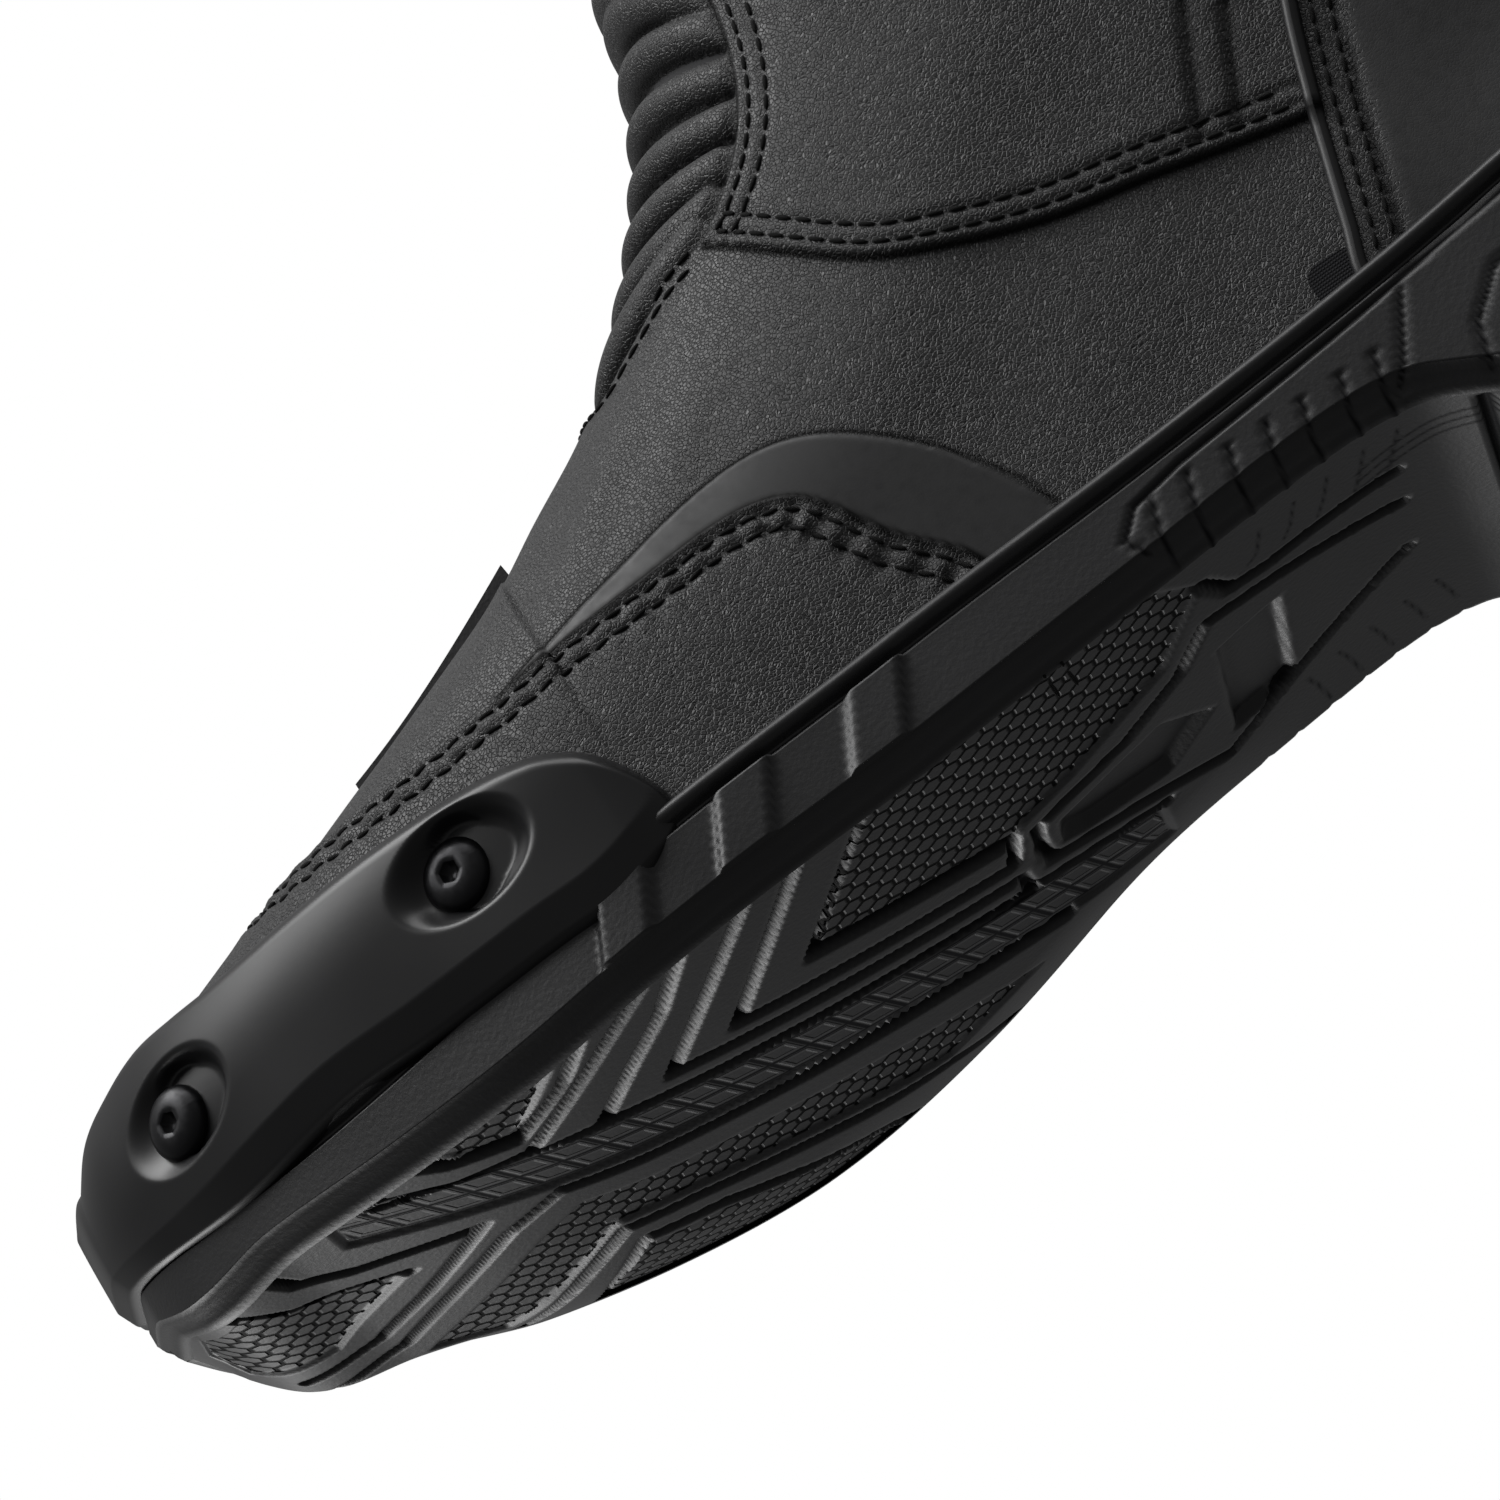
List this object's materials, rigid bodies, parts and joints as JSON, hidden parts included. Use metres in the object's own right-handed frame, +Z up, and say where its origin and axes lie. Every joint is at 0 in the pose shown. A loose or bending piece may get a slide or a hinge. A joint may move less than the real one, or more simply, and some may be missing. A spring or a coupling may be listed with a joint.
{
  "type": "motorcycle touring boot",
  "caption": "Left motorcycle riding boot with chevron-treaded sole, screwed toe slider, padded flex panels, side zip and hinged closure flap.",
  "frame": {"origin": "centre of the boot's bounding box in plan, on the ground", "axes": "+X to the toe, +Y to the outer side of this left boot, +Z up"},
  "size_m": [0.3042, 0.1086, 0.285],
  "materials": {
    "sole_rubber": "matt, moulded",
    "midsole_foam": "foam",
    "shank_steel": "mill",
    "board": "pressed fibre",
    "footbed": "brushed knit",
    "slider_plastic": "satin",
    "black_steel": "blackened",
    "insert_brass": "plain",
    "grained_leather": "fine grain, matt",
    "smooth_leather": "smooth, matt",
    "ribbed_rubber": "textured",
    "moulded_plastic": "satin",
    "stiffener": "thermoplastic sheet",
    "padding": "foam",
    "lining": "knitted mesh",
    "zip_tape": "woven",
    "zip_teeth": "coil",
    "hook_and_loop": "hook and loop",
    "webbing": "woven",
    "reflective": "dark reflective"
  },
  "bodies": {
    "foot": {"outsole": "sole_rubber", "midsole": "midsole_foam", "shank": "shank_steel", "insole_board": "board", "footbed": "footbed", "toe_slider": "slider_plastic", "slider_screws": "black_steel", "slider_inserts": "insert_brass", "toe_cap": "grained_leather", "accent_band": "smooth_leather", "vamp": "grained_leather", "heel_counter": "moulded_plastic", "quarter_lateral": "grained_leather", "quarter_medial": "grained_leather", "front_flex_panel": "grained_leather", "rear_flex_panel": "grained_leather", "toe_puff": "stiffener", "vamp_interlining": "padding", "heel_stiffener": "stiffener", "ankle_padding": "padding", "heel_lining": "lining", "vamp_lining": "lining", "ankle_lining": "lining", "ankle_disc": "moulded_plastic", "gear_shift_pad": "ribbed_rubber"},
    "shaft": {"shaft_lateral": "grained_leather", "shaft_medial_front": "grained_leather", "shaft_medial_rear": "grained_leather", "shaft_padding": "padding", "zip_gusset": "grained_leather", "shaft_lining": "lining", "shin_plate": "moulded_plastic", "collar": "smooth_leather", "reflective_strip": "reflective", "pull_loop": "webbing", "zip_tape_front": "zip_tape", "zip_tape_rear": "zip_tape", "zip_chain_front": "zip_teeth", "zip_chain_rear": "zip_teeth", "zip_bottom_stop": "black_steel", "loop_patch": "hook_and_loop"},
    "zip_slider_body": {"zip_slider": "black_steel"},
    "zip_pull_body": {"zip_pull": "black_steel"},
    "flap_body": {"closure_flap": "grained_leather", "hook_patch": "hook_and_loop"}
  },
  "joints": [
    {"name": "ankle_flex", "type": "hinge", "parent": "foot", "child": "shaft", "pos_m": [-0.06688, 0, 0.112], "axis": [0, 1, 0], "range_deg": [-8, 16], "stiffness_Nm_per_rad": 6, "deforming": ["quarter_lateral", "quarter_medial", "front_flex_panel", "rear_flex_panel", "ankle_lining", "ankle_padding"]},
    {"name": "zip_slide", "type": "slide", "parent": "shaft", "child": "zip_slider_body", "axis": [0, 0.04, -0.9992], "range_m": [0, 0.1]},
    {"name": "zip_pull_swing", "type": "hinge", "parent": "zip_slider_body", "child": "zip_pull_body", "pos_m": [-0.06088, -0.0482, 0.23088], "axis": [-1, 0, 0], "range_deg": [0, 120]},
    {"name": "flap_hinge", "type": "hinge", "parent": "shaft", "child": "flap_body", "pos_m": [-0.02788, -0.04137, 0.243], "axis": [0, -0.0547, 0.9985], "range_deg": [0, 110]}
  ]
}
